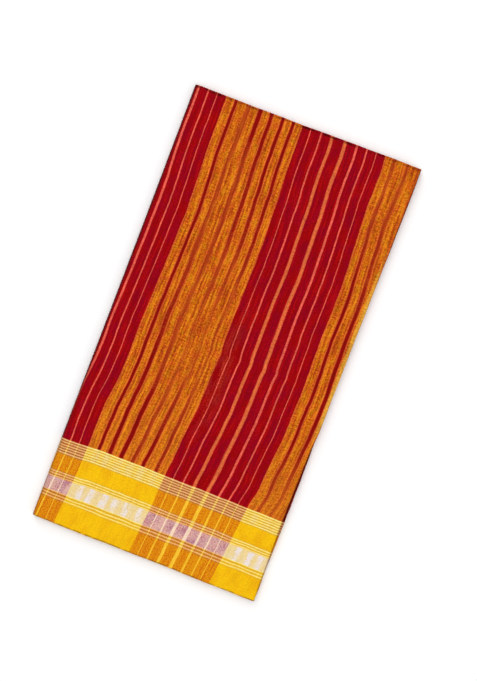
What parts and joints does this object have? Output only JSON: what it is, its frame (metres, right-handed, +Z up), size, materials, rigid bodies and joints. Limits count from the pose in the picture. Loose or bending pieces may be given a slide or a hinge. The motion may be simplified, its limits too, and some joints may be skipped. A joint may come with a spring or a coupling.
{
  "type": "saree",
  "caption": "Cotton saree lying folded flat in a narrow pile, with gold stripes on red and a checked border woven along one end.",
  "frame": {"origin": "on the table under the middle of the folded pile", "axes": "+X from the closed fold on the left to the open folds on the right, +Y from the bordered selvages to the halving crease, +Z up"},
  "size_m": [0.3067, 0.588, 0.0177],
  "materials": {
    "striped_cotton": "plain handloom cotton weave, matt, deep red warp with golden weft stripes and a yellow border"
  },
  "bodies": {
    "root": {"outer_panel": "striped_cotton", "under_fold": "striped_cotton", "inner_layers": "striped_cotton"}
  },
  "joints": []
}
